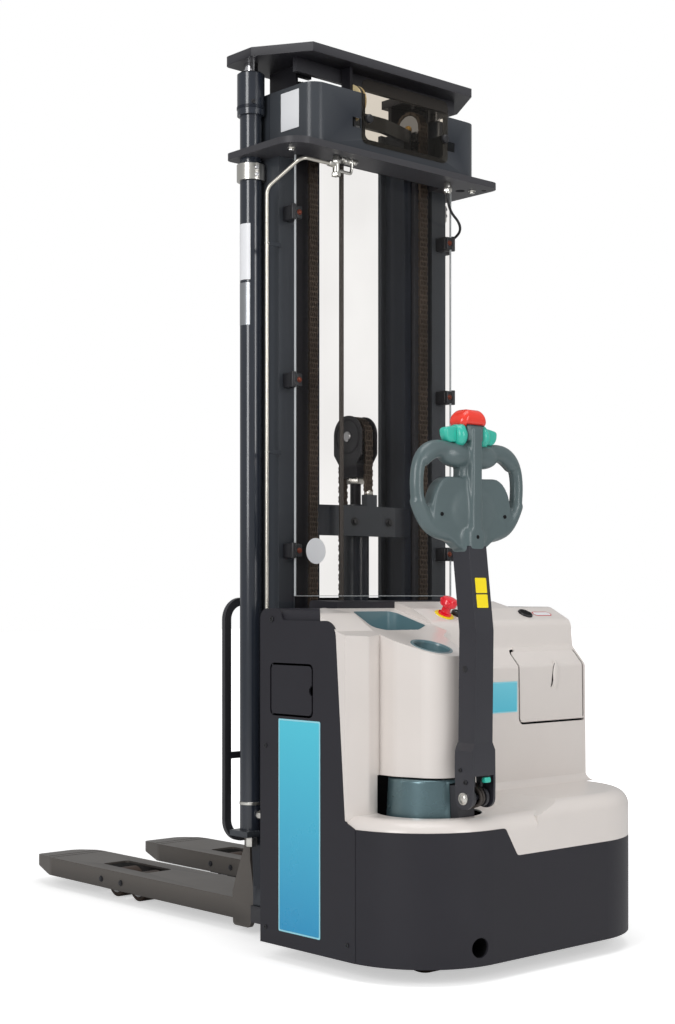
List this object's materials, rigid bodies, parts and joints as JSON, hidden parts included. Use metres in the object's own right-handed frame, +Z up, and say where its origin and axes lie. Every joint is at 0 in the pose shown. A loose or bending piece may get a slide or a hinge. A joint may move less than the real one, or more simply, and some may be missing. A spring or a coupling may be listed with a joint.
{
  "type": "electric stacker",
  "caption": "Pedestrian electric pallet stacker with a three-stage free-lift mast, twin forks, load backrest and a tiller-steered drive wheel.",
  "frame": {"origin": "on the floor under the middle of the truck", "axes": "+X forward to the fork tips, +Y left, +Z up"},
  "size_m": [1.79, 0.85, 2.184],
  "materials": {
    "dark_paint": "satin black paint",
    "cover_plastic": "warm light grey moulding",
    "black_plastic": "fine texture",
    "red_plastic": "moulded red",
    "mast_paint": "satin dark grey paint",
    "steel": "plain steel",
    "chrome": "hard chrome",
    "chain_steel": "oiled chain steel",
    "tread": "polyurethane tread",
    "clear_plastic": "smoked clear plastic",
    "battery_case": "moulded case",
    "motor": "cast housing",
    "nylon": "natural nylon",
    "hose_rubber": "hydraulic hose",
    "panel_plastic": "grained black moulding",
    "slate_plastic": "slate moulding",
    "grey_plastic": "grey grip moulding",
    "clear_sheet": "lightly smoked clear sheet"
  },
  "bodies": {
    "truck": {"chassis_frame": "dark_paint", "battery": "battery_case", "skirt": "dark_paint", "side_panel_left": "panel_plastic", "side_panel_right": "panel_plastic", "cover": "cover_plastic", "top_strip": "black_plastic", "tray_inserts": "slate_plastic", "emergency_stop": "red_plastic", "key_switch": "black_plastic", "support_leg_left": "dark_paint", "support_leg_right": "dark_paint", "outer_mast": "mast_paint", "mast_head_plate": "mast_paint", "mast_head_guard": "mast_paint", "guard_window": "clear_plastic", "mast_shield": "clear_sheet", "shield_clamps": "mast_paint", "lift_cylinders": "mast_paint", "cylinder_clamps": "steel", "hydraulic_pipe": "steel", "limit_switch": "dark_paint", "side_chains_rear": "chain_steel", "mast_hose": "hose_rubber"},
    "hatch": {"hatch_lid": "panel_plastic"},
    "lid": {"rear_lid": "cover_plastic"},
    "steering": {"drive_unit": "motor", "steer_cap": "slate_plastic", "tiller_base": "dark_paint"},
    "drive_wheel": {"drive_wheel": "tread"},
    "tiller": {"tiller_arm": "dark_paint", "tiller_head": "grey_plastic", "tiller_controls": "red_plastic"},
    "castor": {"castor_fork": "dark_paint"},
    "castor_wheels": {"castor_wheels": "tread"},
    "wheel_left_rear": {"load_wheel_left_rear": "tread"},
    "wheel_right_rear": {"load_wheel_right_rear": "tread"},
    "wheel_left_front": {"load_wheel_left_front": "tread"},
    "wheel_right_front": {"load_wheel_right_front": "tread"},
    "intermediate": {"intermediate_mast": "mast_paint", "side_sheaves": "steel", "cylinder_rods": "chrome", "side_chains_front": "chain_steel", "hose_pulley": "nylon"},
    "inner": {"inner_mast": "mast_paint", "free_lift_cylinder": "mast_paint", "free_lift_chain_rear": "chain_steel"},
    "free_lift": {"free_lift_head": "mast_paint", "free_lift_sheave": "steel", "free_lift_chain_front": "chain_steel"},
    "carriage": {"carriage": "mast_paint", "fork_left": "mast_paint", "fork_right": "mast_paint", "load_backrest": "mast_paint"}
  },
  "joints": [
    {"name": "steer_turn", "type": "hinge", "parent": "truck", "child": "steering", "pos_m": [-0.72, 0.225, 0.25], "axis": [0, 0, 1], "range_deg": [-90, 90]},
    {"name": "drive_wheel_spin", "type": "hinge", "parent": "steering", "child": "drive_wheel", "pos_m": [-0.72, 0.225, 0.115], "axis": [0, 1, 0], "continuous": true},
    {"name": "tiller_tilt", "type": "hinge", "parent": "steering", "child": "tiller", "pos_m": [-0.863, 0.225, 0.405], "axis": [0, -1, 0], "range_deg": [0, 80]},
    {"name": "hatch_swing", "type": "hinge", "parent": "truck", "child": "hatch", "pos_m": [-0.404, 0.4225, 0.6335], "axis": [0, 0, -1], "range_deg": [0, 100]},
    {"name": "lid_swing", "type": "hinge", "parent": "truck", "child": "lid", "pos_m": [-0.642, -0.273, 0.54], "axis": [0, -1, 0], "range_deg": [0, 90]},
    {"name": "castor_swivel", "type": "hinge", "parent": "truck", "child": "castor", "pos_m": [-0.695, -0.27, 0.22], "axis": [0, 0, 1], "continuous": true},
    {"name": "castor_spin", "type": "hinge", "parent": "castor", "child": "castor_wheels", "pos_m": [-0.73, -0.27, 0.065], "axis": [0, 1, 0], "continuous": true},
    {"name": "load_wheel_left_rear_spin", "type": "hinge", "parent": "truck", "child": "wheel_left_rear", "pos_m": [0.416, 0.193, 0.04], "axis": [0, 1, 0], "continuous": true},
    {"name": "load_wheel_left_front_spin", "type": "hinge", "parent": "truck", "child": "wheel_left_front", "pos_m": [0.52, 0.193, 0.04], "axis": [0, 1, 0], "continuous": true},
    {"name": "load_wheel_right_rear_spin", "type": "hinge", "parent": "truck", "child": "wheel_right_rear", "pos_m": [0.416, -0.193, 0.04], "axis": [0, 1, 0], "continuous": true},
    {"name": "load_wheel_right_front_spin", "type": "hinge", "parent": "truck", "child": "wheel_right_front", "pos_m": [0.52, -0.193, 0.04], "axis": [0, 1, 0], "continuous": true},
    {"name": "mast_stage_lift", "type": "slide", "parent": "truck", "child": "intermediate", "axis": [0, 0, 1], "range_m": [0, 1.35], "deforming": ["side_chains_rear", "mast_hose"]},
    {"name": "inner_stage_lift", "type": "slide", "parent": "intermediate", "child": "inner", "axis": [0, 0, 1], "range_m": [0, 1.35], "deforming": ["side_chains_front"]},
    {"name": "free_lift", "type": "slide", "parent": "inner", "child": "free_lift", "axis": [0, 0, 1], "range_m": [0, 0.75], "deforming": ["free_lift_chain_rear"]},
    {"name": "carriage_lift", "type": "slide", "parent": "inner", "child": "carriage", "axis": [0, 0, 1], "range_m": [0, 1.5], "deforming": ["free_lift_chain_front"]}
  ],
  "couplings": [
    {"joint": "inner_stage_lift", "follows": "mast_stage_lift", "ratio": 1},
    {"joint": "carriage_lift", "follows": "free_lift", "ratio": 2}
  ]
}
